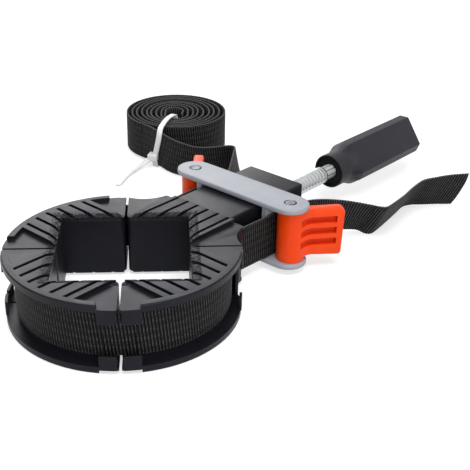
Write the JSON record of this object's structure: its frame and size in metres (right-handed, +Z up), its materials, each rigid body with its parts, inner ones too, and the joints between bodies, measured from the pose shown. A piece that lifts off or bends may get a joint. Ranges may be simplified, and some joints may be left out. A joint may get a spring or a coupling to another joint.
{
  "type": "band clamp",
  "caption": "Band clamp with corner jaws closed to a ring, a yoke with cam levers, a webbing strap and a tightening screw with a handle.",
  "frame": {"origin": "middle of the whole clamp's footprint, on the surface that it lies on", "axes": "+Z up from the bench, +Y from the jaws along the beam to the handle, +X along the yoke to the side of the short strap end"},
  "size_m": [0.239, 0.318, 0.0389],
  "materials": {
    "black_plastic": "satin moulded black plastic with a fine texture",
    "handle_plastic": "satin moulded dark grey plastic",
    "orange_plastic": "smooth moulded orange plastic",
    "cast_grey": "light grey coated casting",
    "zinc_steel": "bright zinc-plated steel",
    "webbing": "black woven webbing with cross ribs",
    "white_nylon": "translucent white nylon"
  },
  "bodies": {
    "head": {"head_body": "black_plastic", "thrust_disc": "zinc_steel"},
    "yoke": {"yoke": "cast_grey", "cross_nut": "zinc_steel", "cam_pin_left": "zinc_steel", "cam_pin_right": "zinc_steel", "strap_run_left": "webbing", "strap_run_right": "webbing", "strap_tail": "webbing", "strap_lead": "webbing", "strap_coil": "webbing", "cable_tie": "white_nylon"},
    "screw": {"screw": "zinc_steel", "handle": "handle_plastic", "thrust_washer": "zinc_steel", "retaining_ring": "zinc_steel"},
    "cam_left": {"cam_lever_left": "orange_plastic"},
    "cam_right": {"cam_lever_right": "orange_plastic"},
    "jaw_left": {"jaw_left": "black_plastic", "strap_wrap_left": "webbing"},
    "jaw_right": {"jaw_right": "black_plastic", "strap_wrap_right": "webbing"},
    "jaw_far": {"jaw_far": "black_plastic"},
    "strap_far": {"strap_wrap_far": "webbing"}
  },
  "joints": [
    {"name": "screw_turn", "type": "hinge", "parent": "head", "child": "screw", "pos_m": [0.05082, 0.07, 0.0208], "axis": [0, 1, 0], "range_deg": [-1800, 1800]},
    {"name": "yoke_slide", "type": "slide", "parent": "head", "child": "yoke", "axis": [0, 1, 0], "range_m": [-0.015, 0.015], "deforming": ["strap_run_left", "strap_run_right"]},
    {"name": "cam_left_turn", "type": "hinge", "parent": "yoke", "child": "cam_left", "pos_m": [0.01662, -0.0136, 0.0213], "axis": [0, 0, 1], "range_deg": [-12, 50]},
    {"name": "cam_right_turn", "type": "hinge", "parent": "yoke", "child": "cam_right", "pos_m": [0.08502, -0.0136, 0.0213], "axis": [0, 0, 1], "range_deg": [-50, 12]},
    {"name": "jaw_left_open", "type": "slide", "parent": "head", "child": "jaw_left", "axis": [-0.7071, -0.7071, 0], "range_m": [0, 0.06]},
    {"name": "jaw_right_open", "type": "slide", "parent": "head", "child": "jaw_right", "axis": [0.7071, -0.7071, 0], "range_m": [0, 0.06]},
    {"name": "jaw_far_open", "type": "slide", "parent": "jaw_left", "child": "jaw_far", "axis": [0.7071, -0.7071, 0], "range_m": [0, 0.06]},
    {"name": "strap_far_open", "type": "slide", "parent": "jaw_right", "child": "strap_far", "axis": [-0.7071, -0.7071, 0], "range_m": [0, 0.06]}
  ],
  "couplings": [
    {"joint": "screw_turn", "follows": "yoke_slide", "rad_per_m": -2094.4},
    {"joint": "jaw_far_open", "follows": "jaw_right_open", "ratio": 1},
    {"joint": "strap_far_open", "follows": "jaw_left_open", "ratio": 1}
  ]
}
